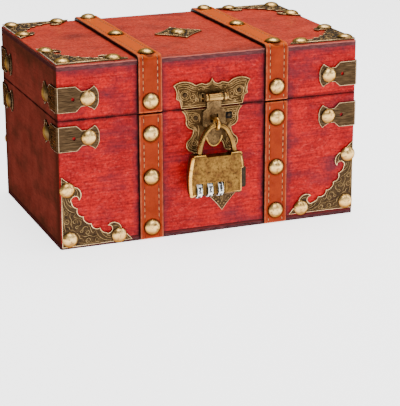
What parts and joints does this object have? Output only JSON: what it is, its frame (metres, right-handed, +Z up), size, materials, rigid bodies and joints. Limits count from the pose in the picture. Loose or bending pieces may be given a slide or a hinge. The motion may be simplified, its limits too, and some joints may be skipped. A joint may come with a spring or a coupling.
{
  "type": "treasure chest box",
  "caption": "Small hinged wooden treasure chest with leather straps, domed nails, corner metalwork, a butterfly hasp latch and a hanging combination padlock.",
  "frame": {"origin": "centre of the underside of the box", "axes": "+Z up, +X to the right as seen from the front, the front with the latch faces -Y"},
  "size_m": [0.2308, 0.1611, 0.1338],
  "materials": {
    "stained_wood": "red-stained and thinly varnished plywood, darkened at its edges",
    "strap_leather": "satin tan imitation leather with cream stitching and dark cut edges",
    "antique_bronze": "antiqued bronze plating, bright on its raised edges",
    "nail_gold": "pale antique gold plating with small darker spots",
    "padlock_brass": "mottled antique brass",
    "dial_white": "silvery white with dark numbers",
    "slider_dark": "dark satin"
  },
  "bodies": {
    "base": {"base_front_panel": "stained_wood", "base_back_panel": "stained_wood", "base_left_panel": "stained_wood", "base_right_panel": "stained_wood", "base_bottom_board": "stained_wood", "base_strap_front_left": "strap_leather", "base_strap_front_right": "strap_leather", "base_strap_back_left": "strap_leather", "base_strap_back_right": "strap_leather", "base_corner_wrap_front_left": "antique_bronze", "base_corner_wrap_front_right": "antique_bronze", "base_corner_wrap_back_left": "antique_bronze", "base_corner_wrap_back_right": "antique_bronze", "base_corner_plate_front_left": "antique_bronze", "base_corner_plate_front_right": "antique_bronze", "base_corner_plate_back_left": "antique_bronze", "base_corner_plate_back_right": "antique_bronze", "front_diamond_plate": "antique_bronze", "latch_lower_plate": "antique_bronze", "hinge_left_base_leaf": "antique_bronze", "hinge_right_base_leaf": "antique_bronze", "handle_plate": "antique_bronze", "base_upholstery_nails": "nail_gold", "base_small_nails": "antique_bronze"},
    "lid": {"lid_front_panel": "stained_wood", "lid_back_panel": "stained_wood", "lid_left_panel": "stained_wood", "lid_right_panel": "stained_wood", "lid_top_board": "stained_wood", "lid_strap_left": "strap_leather", "lid_strap_right": "strap_leather", "lid_corner_wrap_front_left": "antique_bronze", "lid_corner_wrap_front_right": "antique_bronze", "lid_corner_wrap_back_left": "antique_bronze", "lid_corner_wrap_back_right": "antique_bronze", "lid_corner_plate_front_left": "antique_bronze", "lid_corner_plate_front_right": "antique_bronze", "lid_corner_plate_back_left": "antique_bronze", "lid_corner_plate_back_right": "antique_bronze", "top_diamond_plate": "antique_bronze", "latch_upper_plate": "antique_bronze", "hinge_left_lid_leaf": "antique_bronze", "hinge_right_lid_leaf": "antique_bronze", "lid_upholstery_nails": "nail_gold", "lid_small_nails": "antique_bronze", "hinge_pins": "antique_bronze"},
    "hasp": {"hasp": "antique_bronze", "hasp_pin": "antique_bronze"},
    "staple": {"staple_ring": "padlock_brass"},
    "shackle": {"shackle": "padlock_brass"},
    "lock_body": {"lock_front_shell": "padlock_brass", "lock_back_shell": "padlock_brass", "dial_shaft": "padlock_brass", "shackle_pivot_pin": "padlock_brass"},
    "dial_1": {"dial_1": "dial_white"},
    "dial_2": {"dial_2": "dial_white"},
    "dial_3": {"dial_3": "dial_white"},
    "release_slider": {"release_slider": "slider_dark"},
    "side_handle": {"handle_bail": "antique_bronze"}
  },
  "joints": [
    {"name": "lid_hinge", "type": "hinge", "parent": "base", "child": "lid", "pos_m": [0, 0.0728, 0.09], "axis": [-1, 0, 0], "range_deg": [0, 100]},
    {"name": "hasp_swing", "type": "hinge", "parent": "lid", "child": "hasp", "pos_m": [0, -0.0743, 0.0976], "axis": [-1, 0, 0], "range_deg": [0, 161]},
    {"name": "padlock_lift_off", "type": "slide", "parent": "base", "child": "staple", "axis": [0, -1, 0], "range_m": [0, 0.08]},
    {"name": "shackle_swing", "type": "hinge", "parent": "staple", "child": "shackle", "pos_m": [0, -0.0798, 0.06977], "axis": [0, 1, 0], "range_deg": [-15, 15]},
    {"name": "padlock_open", "type": "hinge", "parent": "shackle", "child": "lock_body", "pos_m": [-0.0128, -0.0798, 0.0573], "axis": [0, 1, 0], "range_deg": [0, 30]},
    {"name": "dial_1_spin", "type": "hinge", "parent": "lock_body", "child": "dial_1", "pos_m": [-0.0142, -0.0798, 0.0343], "axis": [1, 0, 0], "continuous": true},
    {"name": "dial_2_spin", "type": "hinge", "parent": "lock_body", "child": "dial_2", "pos_m": [-0.0064, -0.0798, 0.0343], "axis": [1, 0, 0], "continuous": true},
    {"name": "dial_3_spin", "type": "hinge", "parent": "lock_body", "child": "dial_3", "pos_m": [0.0014, -0.0798, 0.0343], "axis": [1, 0, 0], "continuous": true},
    {"name": "release_slide", "type": "slide", "parent": "lock_body", "child": "release_slider", "axis": [0, 0, -1], "range_m": [0, 0.0015], "stiffness_N_per_m": 300, "springref_m": -0.001},
    {"name": "side_handle_swing", "type": "hinge", "parent": "base", "child": "side_handle", "pos_m": [0.1142, 0.004, 0.07002], "axis": [0, -1, 0], "range_deg": [0, 95]}
  ],
  "couplings": [
    {"joint": "hasp_swing", "follows": "padlock_lift_off", "rad_per_m": 35}
  ]
}
